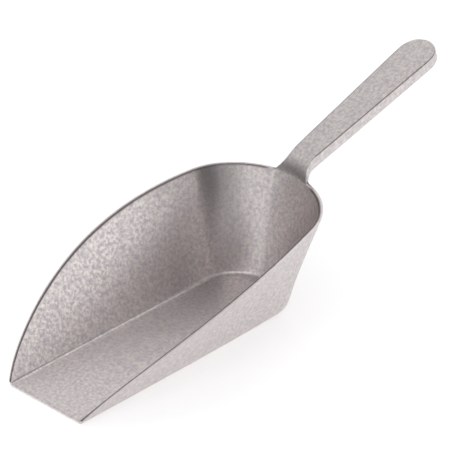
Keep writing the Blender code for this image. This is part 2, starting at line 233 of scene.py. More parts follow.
class Casting:
    """The whole scoop as one closed cage of four-sided faces, with its zone and its worn edges marked."""

    FLOOR_STRIPS = 6
    SIDE_RUNS = 20
    CORNER_RUNS = 8
    BACK_RUNS = 5

    def __init__(self):
        self.bowl = bowl_sizes()
        self.handle = handle_sizes()
        b = self.bowl
        self.floor_line = Outline(
            b.floor_straight, b.mouth_half_width, b.mouth_half_width, 0.0, b.floor_corner, b.floor_corner_end
        )
        self.top_line = Outline(
            b.floor_straight + b.top_extra,
            b.mouth_half_width + b.wall_height * math.tan(b.flare_at_mouth),
            b.mouth_half_width + b.wall_height * math.tan(b.flare_at_back),
            b.wall_bow,
            b.top_corner,
            b.top_corner_end,
        )
        self.floor_back = self.floor_line.back_at(1.0)[0]
        self.back_lean = (self.top_line.back_at(1.0)[0] - self.floor_back) / b.wall_height
        self.bowl_length = self.floor_back + self.back_lean * RIM_TOP
        self.mesh = bmesh.new()
        self.zone = self.mesh.faces.layers.int.new("zone")
        self.wear = self.mesh.verts.layers.float.new("wear")
        # This layer marks where shade is painted into the colour: the rim's inner edge, the handle's top edges
        # and its hollow.
        self.painted_shade = self.mesh.verts.layers.float.new("painted_shade")
        self.stations = self.list_stations()
        self.build_shell()
        self.build_neck_and_handle()
        bmesh.ops.recalc_face_normals(self.mesh, faces=self.mesh.faces)

    # Plan

    def list_stations(self):
        """(stretch, share) from the mouth to the back centre; the last ones are the neck's columns."""
        b = self.bowl
        lip = b.rim_edge * 0.6 / b.floor_straight
        runs = [("side", 0.0), ("side", lip)]
        runs += [("side", lip + (1 - lip) * (i / self.SIDE_RUNS) ** 1.15) for i in range(1, self.SIDE_RUNS + 1)]
        runs += [("corner", i / self.CORNER_RUNS) for i in range(1, self.CORNER_RUNS + 1)]
        neck = [self.top_line.back_run(y) for y in self.column_places(self.handle.flare)]
        runs += [("back", neck[0] * i / self.BACK_RUNS) for i in range(1, self.BACK_RUNS)]
        self.first_neck_station = len(runs)
        runs += [("back", run) for run in neck]
        return runs

    def column_places(self, half_width):
        """Distances from the middle of the neck's and handle's columns, from the edge inwards."""
        edge, flange = self.handle.edge, self.handle.flange
        return [half_width, half_width - edge, half_width - flange, half_width * 0.4, 0.0]

    def wall_place(self, station, z, inset):
        """A point at height z on the wall, set in from its outer face."""
        stretch, run = station
        low, high = self.floor_line.at(stretch, run), self.top_line.at(stretch, run)
        k = z / self.bowl.wall_height
        normal = (low[2] * (1 - k) + high[2] * k).normalized()
        inset += self.tuck_at(normal, k)
        x = low[0] + (high[0] - low[0]) * k - normal.x * inset
        y = low[1] + (high[1] - low[1]) * k - normal.y * inset
        return Vector((x, max(y, 0.0), z))

    def tuck_at(self, normal, k):
        """How far the wall is tucked in, where it faces this way in plan, at a share of its height."""
        b = self.bowl
        turn = (math.atan2(normal.x, normal.y) - b.tuck_start) / (b.tuck_end - b.tuck_start)
        upright = eased((1 - k) / b.tuck_under_rim) * eased(k / b.tuck_over_floor)
        return b.tuck * math.sin(math.pi * min(max(turn, 0.0), 1.0)) ** 2 * upright

    def floor_top(self, x):
        b = self.bowl
        return b.floor_at_mouth + (b.floor_at_back - b.floor_at_mouth) * x / self.floor_back

    def lean_at(self, station):
        stretch, run = station
        low, high = self.floor_line.at(stretch, run), self.top_line.at(stretch, run)
        across = Vector((high[0] - low[0], high[1] - low[1]))
        return across.dot(low[2]) / self.bowl.wall_height

    def along(self, station, at_mouth, at_back):
        x = self.floor_line.at(*station)[0]
        return at_mouth + (at_back - at_mouth) * min(max(x / self.floor_back, 0.0), 1.0)

    def rim_height(self, x):
        run = min(max(x / self.bowl_length, 0.0), 1.0)
        low = self.bowl.rim_at_mouth
        return low + (RIM_TOP - low) * (1 - (1 - run) ** 2) ** self.bowl.rim_fullness

    def rim_at(self, station, inset):
        """The rim's height where it crosses this station of the leaning wall."""
        z = RIM_TOP / 2
        for _ in range(40):
            z = 0.4 * z + 0.6 * self.rim_height(self.wall_place(station, z, inset).x)
        return z

    # Shell

    FILLET_SHARES = (0.0, 0.35, 0.7, 1.0)
    WALL_SHARES = (0.2, 0.45, 0.72)

    def column(self, station, bottom, inset, fillet, dip=0.0):
        """Points up one face of the wall: the fillet, the wall, a point just under the rim, and the rim."""
        lean = self.lean_at(station)
        turn = math.atan2(1.0, lean)
        top = self.rim_at(station, inset) - dip
        fillet = min(fillet, 0.6 * (top - bottom) / (1 - math.cos(turn)))
        points = []
        for part in self.FILLET_SHARES:
            rise = fillet * (1 - math.cos(turn * part))
            rounding = rise * lean + fillet * (math.tan(turn / 2) - math.sin(turn * part))
            points.append(self.wall_place(station, bottom + rise, inset + rounding))
        start = points[-1].z
        under = top - min(self.bowl.rim_edge, 0.4 * (top - start))
        heights = [start + (under - start) * part for part in self.WALL_SHARES] + [under, top]
        return points + [self.wall_place(station, z, inset) for z in heights]

    def vertex(self, place, wear=0.0, painted_shade=0.0):
        """A vertex at a place measured from the mouth, with how worn its metal is and how much painted shade it
        carries.
        """
        vert = self.mesh.verts.new((place.x + MOUTH_X, place.y, place.z))
        vert[self.wear] = wear
        vert[self.painted_shade] = painted_shade
        return vert

    def face(self, corners, zone):
        made = self.mesh.faces.new(corners)
        made[self.zone] = zone
        return made

    def shell_column(self, station, side, dip):
        """One station's vertices: up the inner face, over the rim and down the outer face."""
        b = self.bowl
        thickness = self.along(station, b.wall_at_mouth, b.wall_at_back)
        floor = self.floor_top(self.floor_line.at(*station)[0])
        inner = self.column(station, floor, thickness, b.inner_fillet)
        inner[0].z = self.floor_top(inner[0].x)
        outer_fillet = self.along(station, b.outer_fillet_at_mouth, b.outer_fillet_at_back)
        outer = self.column(station, 0.0, 0.0, outer_fillet, dip)
        edge = min(b.rim_edge / thickness, 0.4)
        rim = [inner[-1].lerp(outer[-1], edge), inner[-1].lerp(outer[-1], 1 - edge)]
        places = inner + rim + outer[::-1]
        last = len(places) - 1
        tops = {len(inner) + 1: 0.8, len(inner) + 2: 1.0}
        verts = []
        for level, place in enumerate(places):
            # Painted shade: a dark line along the rim's inner edge and its inner support, left off the neck's
            # stations.
            painted_shade = {len(inner) - 1: 1.0, len(inner): 0.7}.get(level, 0.0)
            if station in self.stations[self.first_neck_station :]:
                painted_shade = 0.0
            lip = 0.7 if station[1] == 0.0 and station[0] == "side" else 0.0
            wear = max(tops.get(level, 0.0), lip, 0.25 if last - 3 <= level <= last - 1 else 0.0)
            verts.append(self.vertex(Vector((place.x, place.y * side, place.z)), wear, painted_shade))
        return verts

    def floor_row(self, left, right, lip):
        """A row of vertices across the floor between two facing ends, which it keeps."""
        row = [left]
        for i in range(1, self.FLOOR_STRIPS):
            place = left.co.lerp(right.co, i / self.FLOOR_STRIPS)
            place.x -= MOUTH_X
            row.append(self.vertex(place, 0.7 if lip else 0.0))
        return row + [right]

    def build_shell(self):
        h = self.handle
        count = len(self.stations)
        dip_at_middle = self.rim_at(self.stations[-1], 0.0) - self.under_curve(0.0).z

        def dip(index):
            """How far the outer edge of the rim drops to meet the neck's underside."""
            if index <= self.first_neck_station:
                return 0.0
            y = self.top_line.at(*self.stations[index])[1]
            return dip_at_middle * (1 - (y / h.flare) ** 2)

        columns = [self.shell_column(station, 1, dip(i)) for i, station in enumerate(self.stations)]
        mirrored = [self.shell_column(station, -1, dip(i)) for i, station in enumerate(self.stations[:-1])]
        self.ring = columns + mirrored[::-1]
        height = len(columns[0])
        inner_top = height // 2 - 2
        self.rim_levels = list(range(inner_top, inner_top + 4))
        neck_columns = range(self.first_neck_station, 2 * count - 2 - self.first_neck_station)
        for index in range(len(self.ring) - 1):
            one, two = self.ring[index], self.ring[index + 1]
            for level in range(height - 1):
                if index in neck_columns and level in self.rim_levels[:-1]:
                    continue
                self.face((one[level], two[level], two[level + 1], one[level + 1]), 0)
        # The floor's two faces are ladders of rows, each closed at the back by a fan.
        rows = {}
        for level in (0, -1):
            rows[level] = [
                self.floor_row(columns[i][level], mirrored[i][level], i == 0) for i in range(count - 1)
            ]
            for one, two in zip(rows[level], rows[level][1:]):
                for strip in range(self.FLOOR_STRIPS):
                    self.face((one[strip], one[strip + 1], two[strip + 1], two[strip]), 0)
            last, centre = rows[level][-1], columns[-1][level]
            for strip in range(self.FLOOR_STRIPS):
                self.face((last[strip], last[strip + 1], centre), 0)
        # The mouth's square edge joins the inner faces to the outer ones.
        for strip in range(self.FLOOR_STRIPS):
            inner, outer = rows[0][0], rows[-1][0]
            self.face((inner[strip], inner[strip + 1], outer[strip + 1], outer[strip]), 0)
        for column in (columns[0], mirrored[0]):
            for level in range(inner_top):
                self.face((column[level], column[level + 1], column[-2 - level], column[-1 - level]), 0)
            self.face([column[level] for level in self.rim_levels], 0)

    # Neck and handle

    def back_angle(self):
        return math.atan2(1.0, self.back_lean)

    def bend_start(self):
        top = self.rim_at(self.stations[-1], self.bowl.wall_at_back)
        return self.wall_place(self.stations[-1], top, self.bowl.wall_at_back)

    def top_curve(self, distance):
        """The middle of the top, at a distance along it from the rim, and the way up from it."""
        h = self.handle
        steep = self.back_angle()
        bend_length = h.bend * (steep - h.rise)
        heading = steep - min(max(distance, 0.0), bend_length) / h.bend
        start = self.bend_start()
        x = start.x + h.bend * (math.sin(steep) - math.sin(heading))
        z = start.z + h.bend * (math.cos(heading) - math.cos(steep))
        past = distance - bend_length
        if past > 0:
            x += past * math.cos(h.rise)
            z += past * math.sin(h.rise)
        return Vector((x, 0.0, z)), Vector((-math.sin(heading), 0.0, math.cos(heading)))

    def bend_length(self):
        return self.handle.bend * (self.back_angle() - self.handle.rise)

    def depth_at(self, past):
        h = self.handle
        return h.depth_at_neck + (h.depth_at_end - h.depth_at_neck) * past / h.handle_length

    def under_curve(self, run):
        """The middle of the neck's underside, at a share of its run from the back wall to the handle."""
        h = self.handle
        along = Vector((math.cos(h.rise), 0.0, math.sin(h.rise)))
        top, up = self.top_curve(self.bend_length() + h.neck_straight)
        end = top - up * self.depth_at(h.neck_straight)
        total = h.rise + h.under_turn
        hook = h.under_bend * Vector(
            (math.sin(h.rise) - math.sin(total), 0.0, math.cos(total) - math.cos(h.rise))
        )
        off_wall = end.x + hook.x - self.floor_back - self.back_lean * (end.z + hook.z)
        straight = off_wall / (along.x - self.back_lean * along.z)
        arc_length = h.under_bend * h.under_turn
        reach = run * (arc_length + straight)
        if reach >= arc_length:
            return end - along * (straight - (reach - arc_length))
        turn = total - reach / h.under_bend
        start = end - along * straight
        return start + Vector(
            (math.sin(h.rise) - math.sin(turn), 0.0, math.cos(turn) - math.cos(h.rise))
        ) * h.under_bend

    def half_width(self, past):
        h = self.handle
        return h.half_width_at_neck + (h.half_width_at_end - h.half_width_at_neck) * past / (
            h.handle_length - h.round_length
        )

    def section(self, tops, bottoms, line=0.8):
        """One loop of vertices round the neck or handle, with a painted shade line as strong as given along its
        top edges.
        """
        h = self.handle
        depth = (tops[0] - bottoms[0]).length
        edge = min(h.edge / depth, 0.4)
        columns = len(tops) - 1

        # These column weights set both the painted shade line along the top edges and the wear along the bottom
        # edges.
        def wear(index):
            return 1.0 if index in (0, columns) else 0.35 if index in (1, columns - 1) else 0.0

        # The top row carries the painted shade line, strongest at the outer columns.
        loop = [self.vertex(place, 0.0, line * wear(i)) for i, place in enumerate(tops)]
        loop += [self.vertex(tops[-1].lerp(bottoms[-1], part), 0.5) for part in (edge, 1 - edge)]
        loop += [self.vertex(place, wear(columns - i)) for i, place in enumerate(bottoms[::-1])]
        loop += [self.vertex(bottoms[0].lerp(tops[0], part), 0.5) for part in (edge, 1 - edge)]
        return loop

    def bridge(self, one, two, zone, skip=()):
        for index in range(len(one)):
            if index in skip:
                continue
            following = (index + 1) % len(one)
            self.face((one[index], one[following], two[following], two[index]), zone)

    def build_neck_and_handle(self):
        h = self.handle
        first = self.first_neck_station
        neck_ring = self.ring[first : len(self.ring) - first]
        inner, inner_support, outer_support, outer = self.rim_levels
        loop = [column[inner] for column in neck_ring]
        loop += [neck_ring[-1][inner_support], neck_ring[-1][outer_support]]
        loop += [column[outer] for column in neck_ring[::-1]]
        loop += [neck_ring[0][outer_support], neck_ring[0][inner_support]]

        bend = self.bend_length()
        neck_end = bend + h.neck_straight
        neck_distances = [1.1 * MM, 3.5 * MM, 7.0 * MM, 11.0 * MM, 0.5 * (11.0 * MM + bend), bend, neck_end]
        flare_over = h.flare - self.half_width(-bend)
        previous = loop
        for distance in neck_distances:
            top, _ = self.top_curve(distance)
            bottom = self.under_curve(distance / neck_end)
            wide = self.half_width(distance - bend) + flare_over * max(0.0, 1 - distance / h.flare_length) ** 2
            # Near the rim the section is curved as the rim is, and straightens as it leaves it.
            curl = max(0.0, 1 - distance / h.flare_length) ** 2
            places = self.column_places(wide)
            across = places + [-y for y in places[-2::-1]]
            tops, bottoms = [], []
            for y in across:
                sag = self.top_line.back_radius - math.sqrt(self.top_line.back_radius**2 - y**2)
                tops.append(top + Vector((-sag * curl, y, 0.0)))
                bottoms.append(bottom + Vector((-sag * curl, y, 0.0)))
            # The sides of the flare are no deeper than the rim that they run into.
            rim_depth = self.bowl.wall_at_back
            for index in (0, -1):
                full = tops[index] - bottoms[index]
                keep = rim_depth + (full.length - rim_depth) * (1 - curl)
                bottoms[index] = tops[index] - full.normalized() * keep
            # The painted shade line along the top edges is left off the flare and fades in towards the bend.
            line = 0.8 * eased((distance - h.flare_length) / (bend - h.flare_length))
            section = self.section(tops, bottoms, line)
            self.bridge(previous, section, 1)
            previous = section
        self.build_handle(previous)

    def handle_rows(self):
        """(distance past the bend, share of the round end or None) of the handle's sections."""
        h = self.handle
        straight_end = h.handle_length - h.round_length
        rows = [(h.root_solid - h.edge, None), (h.root_solid, None)]
        steps = 7
        for i in range(1, steps + 1):
            rows.append((h.root_solid + (straight_end - h.root_solid) * i / steps, None))
        ends = (0.3, 0.58, 1 - h.flange / h.round_length, 1 - h.edge / h.round_length, 1.0)
        return rows + [(straight_end, run) for run in ends]

    def handle_places(self, past, run):
        """The places along and across the handle of one section's columns."""
        h = self.handle
        wide = self.half_width(past)
        places = self.column_places(wide)
        across = places + [-y for y in places[-2::-1]]
        if run is None:
            return [(past, y) for y in across]
        # The round end is a square grid drawn out to a half ellipse.
        shares = [y / wide for y in across]
        return [
            (past + h.round_length * run * math.sqrt(1 - a * a / 2), wide * a * math.sqrt(1 - run * run / 2))
            for a in shares
        ]

    def build_handle(self, previous):
        h = self.handle
        rows = self.handle_rows()
        columns = 2 * len(self.column_places(h.flare)) - 2
        bottom_start = columns + 3
        hollow = range(bottom_start + 2, bottom_start + columns - 2)
        first_hollow, last_hollow = 1, len(rows) - 3
        bend = self.bend_length()
        sections, plates = [], []
        for past, run in rows:
            tops, bottoms, plate = [], [], []
            for place, y in self.handle_places(past, run):
                top, up = self.top_curve(bend + place)
                tops.append(top + Vector((0.0, y, 0.0)))
                bottoms.append(tops[-1] - up * self.depth_at(place))
                plate.append((tops[-1], bottoms[-1], up))
            sections.append(self.section(tops, bottoms))
            plates.append(plate)
        self.bridge(previous, sections[0], 2)
        for index in range(len(sections) - 1):
            skip = hollow if first_hollow <= index < last_hollow else ()
            self.bridge(sections[index], sections[index + 1], 2, skip)
        self.close_tip(sections[-1], columns)
        self.hollow_out(sections, plates, hollow, first_hollow, last_hollow, columns)

    def close_tip(self, last, columns):
        """The front face of the round end joins the last section's top row to its bottom row."""
        sides = [last[columns + 1], last[columns + 2]]
        far = [last[2 * columns + 4], last[2 * columns + 5]]
        rows = [last[: columns + 1]]
        for part in (0, 1):
            row = [far[1 - part]]
            for i in range(1, columns):
                top, bottom = last[i], last[2 * columns + 3 - i]
                edge = min(self.handle.edge / (top.co - bottom.co).length, 0.4)
                place = top.co.lerp(bottom.co, (edge, 1 - edge)[part])
                place.x -= MOUTH_X
                row.append(self.vertex(place, 0.5))
            rows.append(row + [sides[part]])
        rows.append(last[columns + 3 : 2 * columns + 4][::-1])
        for one, two in zip(rows, rows[1:]):
            for i in range(columns):
                self.face((one[i], one[i + 1], two[i + 1], two[i]), 2)

    def hollow_out(self, sections, plates, hollow, first, last, columns):
        """The hollow underside: walls that rise from the flanges' inner edges to the underside of the plate."""
        h = self.handle
        levels = []
        corner_count = len(hollow) + 1
        bottom_start = columns + 3
        for level in (0.12, 0.8, 1.0):
            grid = []
            for row in range(first, last + 1):
                line = []
                for offset in range(corner_count):
                    index = hollow[0] + offset
                    top, bottom, up = plates[row][columns - (index - bottom_start)]
                    ceiling = top - up * h.plate
                    on_rim = row in (first, last) or offset in (0, corner_count - 1)
                    if level < 1.0 and not on_rim:
                        line.append(None)
                        continue
                    # Painted shade: the hollow's walls darken towards the plate, and its ceiling is darkened
                    # too.
                    line.append(self.vertex(bottom.lerp(ceiling, level), 0.0, 0.45 * level if on_rim else 0.3))
                grid.append(line)
            levels.append(grid)
        base = [sections[row][hollow[0] : hollow[-1] + 2] for row in range(first, last + 1)]
        rings = [self.border(grid) for grid in [base] + levels]
        for one, two in zip(rings, rings[1:]):
            self.bridge(one, two, 2)
        ceiling = levels[-1]
        for one, two in zip(ceiling, ceiling[1:]):
            for i in range(corner_count - 1):
                self.face((one[i], one[i + 1], two[i + 1], two[i]), 2)

    @staticmethod
    def border(grid):
        """The outermost vertices of a grid, in order round it."""
        right = [line[-1] for line in grid[1:-1]]
        left = [line[0] for line in grid[1:-1]]
        return grid[0] + right + grid[-1][::-1] + left[::-1]

    def to_object(self, name):
        data = bpy.data.meshes.new(name)
        self.mesh.to_mesh(data)
        self.mesh.free()
        cage = bpy.data.objects.new(name, data)
        bpy.context.scene.collection.objects.link(cage)
        return cage


# The casting's skin, by Geometry Nodes ----------------------------------------------------------------------


def casting_skin_tree():
    """Subdivides a cage and gives it the slow unevenness of a tumbled casting, pressed inwards only."""
    tree = bpy.data.node_groups.new("casting_skin", "GeometryNodeTree")
    tree.is_modifier = True
    socket = tree.interface.new_socket
    socket("Geometry", in_out="INPUT", socket_type="NodeSocketGeometry")
    socket("Level", in_out="INPUT", socket_type="NodeSocketInt")
    socket("Wave Size", in_out="INPUT", socket_type="NodeSocketFloat")
    socket("Wave Height", in_out="INPUT", socket_type="NodeSocketFloat")
    socket("Seed", in_out="INPUT", socket_type="NodeSocketFloat")
    socket("Material", in_out="INPUT", socket_type="NodeSocketMaterial")
    socket("Geometry", in_out="OUTPUT", socket_type="NodeSocketGeometry")
    nodes, links = tree.nodes, tree.links
    given = nodes.new("NodeGroupInput")
    subdivide = nodes.new("GeometryNodeSubdivisionSurface")
    links.new(given.outputs["Geometry"], subdivide.inputs["Mesh"])
    links.new(given.outputs["Level"], subdivide.inputs["Level"])
    noise = nodes.new("ShaderNodeTexNoise")
    noise.noise_dimensions = "4D"
    frequency = nodes.new("ShaderNodeMath")
    frequency.operation = "DIVIDE"
    frequency.inputs[0].default_value = 1.0
    links.new(given.outputs["Wave Size"], frequency.inputs[1])
    links.new(frequency.outputs[0], noise.inputs["Scale"])
    links.new(given.outputs["Seed"], noise.inputs["W"])
    noise.inputs["Detail"].default_value = 1.0
    depth = nodes.new("ShaderNodeMath")
    depth.operation = "MULTIPLY"
    links.new(noise.outputs["Fac"], depth.inputs[0])
    links.new(given.outputs["Wave Height"], depth.inputs[1])
    inwards = nodes.new("ShaderNodeMath")
    inwards.operation = "MULTIPLY"
    inwards.inputs[1].default_value = -1.0
    links.new(depth.outputs[0], inwards.inputs[0])
    normal = nodes.new("GeometryNodeInputNormal")
    offset = nodes.new("ShaderNodeVectorMath")
    offset.operation = "SCALE"
    links.new(normal.outputs["Normal"], offset.inputs[0])
    links.new(inwards.outputs[0], offset.inputs["Scale"])
    move = nodes.new("GeometryNodeSetPosition")
    links.new(subdivide.outputs["Mesh"], move.inputs["Geometry"])
    links.new(offset.outputs[0], move.inputs["Offset"])
    realize = nodes.new("GeometryNodeRealizeInstances")
    links.new(move.outputs["Geometry"], realize.inputs["Geometry"])
    paint = nodes.new("GeometryNodeSetMaterial")
    links.new(realize.outputs["Geometry"], paint.inputs["Geometry"])
    links.new(given.outputs["Material"], paint.inputs["Material"])
    result = nodes.new("NodeGroupOutput")
    links.new(paint.outputs["Geometry"], result.inputs["Geometry"])
    return tree


def set_input(modifier, name, value):
    for item in modifier.node_group.interface.items_tree:
        if item.item_type == "SOCKET" and item.in_out == "INPUT" and item.name == name:
            modifier[item.identifier] = value
            return
    raise ValueError(f"{modifier.node_group.name} has no input named {name}")


def cast_whole(material):
    """The whole casting as one smooth mesh."""
    finish = finish_values()
    cage = Casting().to_object("casting_cage")
    skin = cage.modifiers.new("casting_skin", "NODES")
    skin.node_group = bpy.data.node_groups.get("casting_skin") or casting_skin_tree()
    set_input(skin, "Level", finish.smoothness)
    set_input(skin, "Wave Size", finish.wave_size)
    set_input(skin, "Wave Height", finish.wave_height)
    set_input(skin, "Seed", 3.0)
    set_input(skin, "Material", material)
    graph = bpy.context.evaluated_depsgraph_get()
    mesh = bpy.data.meshes.new_from_object(cage.evaluated_get(graph))
    bpy.data.objects.remove(cage, do_unlink=True)
    return mesh


def cut_zone(whole, zone, name):
    """One zone of the casting as a closed mesh, shaded as if the casting still ran on past its ends."""
    normals = {tuple(round(c, 7) for c in v.co): v.normal.copy() for v in whole.vertices}
    shape = bmesh.new()
    shape.from_mesh(whole)
    cap_mark = shape.faces.layers.int.new("cap")
    layer = shape.faces.layers.int["zone"]
    others = [face for face in shape.faces if face[layer] != zone]
    bmesh.ops.delete(shape, geom=others, context="FACES")
    ends = [edge for edge in shape.edges if edge.is_boundary]
    caps = []
    while ends:
        # the list grows as it is walked, so the loop's edges always come in the same order
        loop = [ends[0]]
        for edge in loop:
            for vertex in edge.verts:
                loop += [e for e in vertex.link_edges if e.is_boundary and e not in loop]
        caps += bmesh.ops.edgeloop_fill(shape, edges=loop)["faces"]
        ends = [edge for edge in ends if edge not in loop]
    caps = bmesh.ops.triangulate(shape, faces=caps)["faces"] if caps else []
    bmesh.ops.recalc_face_normals(shape, faces=shape.faces)
    for face in caps:
        face[cap_mark] = 1
    mesh = bpy.data.meshes.new(name)
    shape.to_mesh(mesh)
    shape.free()
    mesh.shade_smooth()
    marks = mesh.attributes["cap"].data
    loops = [Vector((0, 0, 0))] * len(mesh.loops)
    for polygon in mesh.polygons:
        for loop_index in polygon.loop_indices:
            vertex = mesh.vertices[mesh.loops[loop_index].vertex_index]
            whole_normal = normals[tuple(round(c, 7) for c in vertex.co)]
            loops[loop_index] = polygon.normal if marks[polygon.index].value else whole_normal
    mesh.normals_split_custom_set([tuple(n) for n in loops])
    mesh.attributes.remove(mesh.attributes["cap"])
    mesh.attributes.remove(mesh.attributes["zone"])
    return mesh


# Materials -------------------------------------------------------------------------------------------------


def shader_group(name, inputs, outputs):
    tree = bpy.data.node_groups.new(name, "ShaderNodeTree")
    for label, kind in inputs:
        tree.interface.new_socket(label, in_out="INPUT", socket_type=kind)
    for label, kind in outputs:
        tree.interface.new_socket(label, in_out="OUTPUT", socket_type=kind)
    return tree, tree.nodes.new("NodeGroupInput"), tree.nodes.new("NodeGroupOutput")


def maths(tree, operation, one, two):
    node = tree.nodes.new("ShaderNodeMath")
    node.operation = operation
    for index, value in enumerate((one, two)):
        if isinstance(value, (int, float)):
            node.inputs[index].default_value = value
        else:
            tree.links.new(value, node.inputs[index])
    return node.outputs[0]


def noise_at(tree, coordinates, scale, detail, roughness=0.5):
    node = tree.nodes.new("ShaderNodeTexNoise")
    tree.links.new(coordinates, node.inputs["Vector"])
    if isinstance(scale, (int, float)):
        node.inputs["Scale"].default_value = scale
    else:
        tree.links.new(scale, node.inputs["Scale"])
    node.inputs["Detail"].default_value = detail
    node.inputs["Roughness"].default_value = roughness
    return node.outputs["Fac"]


def ramp(tree, value, low, high, to_low=0.0, to_high=1.0):
    node = tree.nodes.new("ShaderNodeMapRange")
    node.interpolation_type = "SMOOTHSTEP"
    tree.links.new(value, node.inputs["Value"])
    for label, number in (("From Min", low), ("From Max", high), ("To Min", to_low), ("To Max", to_high)):
        node.inputs[label].default_value = number
    return node.outputs["Result"]


def mix_colours(tree, factor, one, two, blend="MIX"):
    node = tree.nodes.new("ShaderNodeMix")
    node.data_type = "RGBA"
    node.blend_type = blend
    tree.links.new(factor, node.inputs["Factor"])
    for label, value in (("A", one), ("B", two)):
        target = next(s for s in node.inputs if s.name == label and s.type == "RGBA")
        if isinstance(value, tuple):
            target.default_value = (*value, 1.0)
        else:
            tree.links.new(value, target)
    return next(s for s in node.outputs if s.type == "RGBA")


def cast_grain_group():
    """The fine skin of a sand casting after tumbling: a height for bump and a mask of its pits."""
    tree, given, result = shader_group(
        "cast_grain",
        (("Vector", "NodeSocketVector"), ("Grain Size", "NodeSocketFloat")),
        (("Height", "NodeSocketFloat"), ("Pits", "NodeSocketFloat"), ("Mottle", "NodeSocketFloat")),
    )
    frequency = maths(tree, "DIVIDE", 1.0, given.outputs["Grain Size"])
    coarse = noise_at(tree, given.outputs["Vector"], frequency, 3.0, 0.6)
    fine = noise_at(tree, given.outputs["Vector"], maths(tree, "MULTIPLY", frequency, 2.7), 2.0, 0.6)
    height = maths(tree, "ADD", maths(tree, "MULTIPLY", coarse, 0.65), maths(tree, "MULTIPLY", fine, 0.35))
    pits = ramp(tree, fine, 0.56, 0.72)
    mottle = noise_at(tree, given.outputs["Vector"], maths(tree, "MULTIPLY", frequency, 0.55), 5.0, 0.75)
    tree.links.new(height, result.inputs["Height"])
    tree.links.new(pits, result.inputs["Pits"])
    tree.links.new(mottle, result.inputs["Mottle"])
    return tree


def edge_wear_group():
    """Where handling has polished the metal: its marked edges, broken up by noise."""
    tree, given, result = shader_group(
        "edge_wear",
        (("Vector", "NodeSocketVector"), ("Edge", "NodeSocketFloat"), ("Amount", "NodeSocketFloat")),
        (("Wear", "NodeSocketFloat"),),
    )
    broken = noise_at(tree, given.outputs["Vector"], 260.0, 3.0, 0.6)
    cut = maths(tree, "SUBTRACT", given.outputs["Edge"], maths(tree, "MULTIPLY", broken, 0.6))
    wear = maths(tree, "MULTIPLY", ramp(tree, cut, 0.1, 0.75), given.outputs["Amount"])
    tree.links.new(wear, result.inputs["Wear"])
    return tree


def group_node(tree, name, maker):
    node = tree.nodes.new("ShaderNodeGroup")
    node.node_tree = bpy.data.node_groups.get(name) or maker()
    return node


def tumbled_aluminium(name):
    """Satin cast aluminium: grained all over, brighter along worn edges, and darkened by painted shade along
    the rim's inner edge, the handle's top edges and in the handle's hollow.
    """
    finish = finish_values()
    material = bpy.data.materials.new(name)
    material.use_nodes = True
    tree = material.node_tree
    shader = tree.nodes["Principled BSDF"]
    shader.inputs["Metallic"].default_value = 1.0
    place = tree.nodes.new("ShaderNodeTexCoord").outputs["Object"]
    grain = group_node(tree, "cast_grain", cast_grain_group)
    tree.links.new(place, grain.inputs["Vector"])
    grain.inputs["Grain Size"].default_value = finish.grain_size
    edges = tree.nodes.new("ShaderNodeAttribute")
    edges.attribute_name = "wear"
    painted_shade_node = tree.nodes.new("ShaderNodeAttribute")
    painted_shade_node.attribute_name = "painted_shade"
    wear = group_node(tree, "edge_wear", edge_wear_group)
    tree.links.new(place, wear.inputs["Vector"])
    tree.links.new(edges.outputs["Fac"], wear.inputs["Edge"])
    wear.inputs["Amount"].default_value = 0.8
    metal = tuple(finish.metal)
    cool = tuple(c * f for c, f in zip(metal, (0.80, 0.79, 0.85)))
    warm = tuple(c * f for c, f in zip(metal, (1.15, 1.15, 1.08)))
    mottled = mix_colours(tree, ramp(tree, grain.outputs["Mottle"], 0.34, 0.66), warm, cool)
    pitted = mix_colours(
        tree, maths(tree, "MULTIPLY", grain.outputs["Pits"], 0.5), mottled, tuple(c * 0.5 for c in metal)
    )
    # Painted shade: the metal is mixed towards the dark shade colour where the painted shade layer is marked.
    with_painted_shade = mix_colours(tree, ramp(tree, painted_shade_node.outputs["Fac"], 0.25, 0.85), pitted, tuple(finish.shade))
    worn = mix_colours(tree, wear.outputs["Wear"], with_painted_shade, tuple(finish.worn))
    tree.links.new(worn, shader.inputs["Base Color"])
    rough = ramp(tree, grain.outputs["Mottle"], 0.3, 0.7, finish.roughness - 0.05, finish.roughness + 0.07)
    smoother = maths(tree, "SUBTRACT", rough, maths(tree, "MULTIPLY", wear.outputs["Wear"], 0.12))
    tree.links.new(smoother, shader.inputs["Roughness"])
    bump = tree.nodes.new("ShaderNodeBump")
    bump.inputs["Distance"].default_value = finish.grain_height
    tree.links.new(grain.outputs["Height"], bump.inputs["Height"])
    tree.links.new(bump.outputs["Normal"], shader.inputs["Normal"])
    return material


# Operators -------------------------------------------------------------------------------------------------


def place_piece(name, zone, nodes, slot):
    material = tumbled_aluminium(f"{slot}_finish")
    mesh = cut_zone(cast_whole(material), ZONES.index(zone), name)
    mesh.materials.clear()
    mesh.materials.append(material)
    piece = bpy.data.objects.new(name, mesh)
    bpy.context.scene.collection.objects.link(piece)
    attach(piece, BODY)
    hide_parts(*nodes)
    return piece


class SCOOP_OT_bowl(bpy.types.Operator):
    """Make the flat-floored bowl with its rim"""

    bl_idname = "scoop.bowl"
    bl_label = "Bowl"

    def execute(self, context):
        place_piece("bowl_casting", "bowl", ["bowl"], "tumbled_aluminium")
        return {"FINISHED"}


class SCOOP_OT_neck(bpy.types.Operator):
    """Make the neck that carries the bowl's back wall into the handle"""

    bl_idname = "scoop.neck"
    bl_label = "Neck"

    def execute(self, context):
        place_piece("neck_casting", "neck", ["neck_weld"], "weld_aluminium")
        return {"FINISHED"}


class SCOOP_OT_handle(bpy.types.Operator):
    """Make the hollow-backed tongue of the handle"""

    bl_idname = "scoop.handle"
    bl_label = "Handle"

    def execute(self, context):
        place_piece("handle_casting", "handle", ["handle"], "handle_aluminium")
        return {"FINISHED"}


